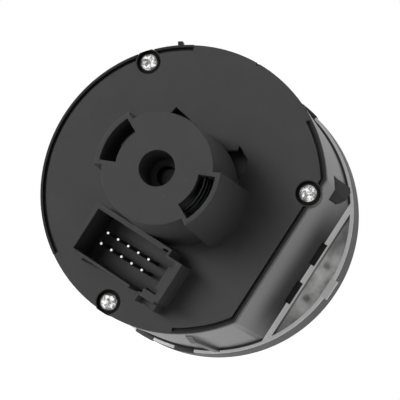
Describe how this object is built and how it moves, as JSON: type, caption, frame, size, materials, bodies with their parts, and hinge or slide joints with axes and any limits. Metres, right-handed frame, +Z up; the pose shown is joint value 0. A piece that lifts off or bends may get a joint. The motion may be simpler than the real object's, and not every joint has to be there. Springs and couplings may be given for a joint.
{
  "type": "headlight switch",
  "caption": "Dashboard rotary light switch: round bezel and grip knob, drafted round housing with one flat side, rear cover with boss and pin connector",
  "frame": {"origin": "on the knob's axis, in the plane where the flange seats on the dashboard panel", "axes": "+Z up in the car, -Y along the knob's axis toward the driver, +Y toward the connector, the housing's flat side at -X"},
  "size_m": [0.0637, 0.0763, 0.0634],
  "materials": {
    "light_grey_plastic": "moulded light grey plastic with a fine satin grain",
    "dark_grey_plastic": "moulded dark grey plastic, fine grain",
    "face_plastic": "painted black face with light symbols",
    "milky_plastic": "milky light guide plastic",
    "black_plastic": "black glass-filled plastic",
    "cover_plastic": "black moulded cover, satin with faint flow marks",
    "knob_plastic": "soft black knob paint",
    "satin_chrome": "satin chrome ring",
    "white_inlay": "white pointer inlay",
    "spring_brass": "rolled contact brass",
    "spring_steel": "drawn spring wire",
    "board_laminate": "black-green circuit board laminate",
    "lamp_plastic": "lamp chip resin",
    "tinned_pins": "tinned contact pins",
    "zinc_steel": "bright zinc plated screws"
  },
  "bodies": {
    "switch_body": {"housing": "light_grey_plastic", "trim_ring": "dark_grey_plastic", "face_plate": "face_plastic", "light_guide": "milky_plastic", "light_baffle": "black_plastic", "circuit_board": "board_laminate", "board_lamps": "lamp_plastic", "rear_frame": "black_plastic", "rear_cover": "cover_plastic", "contact_pins": "tinned_pins", "cover_screws": "zinc_steel", "return_spring": "spring_steel", "detent_spring": "spring_steel", "catch_spring_upper": "spring_steel", "catch_spring_lower": "spring_steel"},
    "turning_rotor": {"rotor": "black_plastic", "rotor_wiper": "spring_brass"},
    "push_sleeve": {"release_sleeve": "milky_plastic"},
    "knob_body": {"knob": "knob_plastic", "knob_ring": "satin_chrome", "knob_pointer": "white_inlay", "knob_shaft": "dark_grey_plastic", "contact_bush": "spring_brass"},
    "upper_catch": {"catch_upper": "dark_grey_plastic"},
    "lower_catch": {"catch_lower": "dark_grey_plastic"},
    "detent": {"detent_plunger": "milky_plastic"}
  },
  "joints": [
    {"name": "knob_turn", "type": "hinge", "parent": "switch_body", "child": "turning_rotor", "pos_m": [0, 0, 0], "axis": [0, 1, 0], "range_deg": [-45, 90]},
    {"name": "knob_push", "type": "slide", "parent": "turning_rotor", "child": "push_sleeve", "axis": [0, 1, 0], "range_m": [0, 0.003], "stiffness_N_per_m": 1200, "springref_m": -0.002, "deforming": ["return_spring"]},
    {"name": "knob_pull", "type": "slide", "parent": "push_sleeve", "child": "knob_body", "axis": [0, -1, 0], "range_m": [0, 0.007]},
    {"name": "upper_catch_draw", "type": "slide", "parent": "switch_body", "child": "upper_catch", "axis": [0.9063, 0, -0.4226], "range_m": [0, 0.0013], "stiffness_N_per_m": 300, "springref_m": -0.001, "deforming": ["catch_spring_upper"]},
    {"name": "lower_catch_draw", "type": "slide", "parent": "switch_body", "child": "lower_catch", "axis": [-0.9063, 0, 0.4226], "range_m": [0, 0.0013], "stiffness_N_per_m": 300, "springref_m": -0.001, "deforming": ["catch_spring_lower"]},
    {"name": "detent_plunge", "type": "slide", "parent": "switch_body", "child": "detent", "axis": [0.7071, 0, 0.7071], "range_m": [0, 0.0008], "stiffness_N_per_m": 400, "springref_m": 0.0008, "deforming": ["detent_spring"]}
  ],
  "couplings": [
    {"joint": "upper_catch_draw", "follows": "knob_push", "ratio": 0.43333},
    {"joint": "lower_catch_draw", "follows": "knob_push", "ratio": 0.43333}
  ]
}
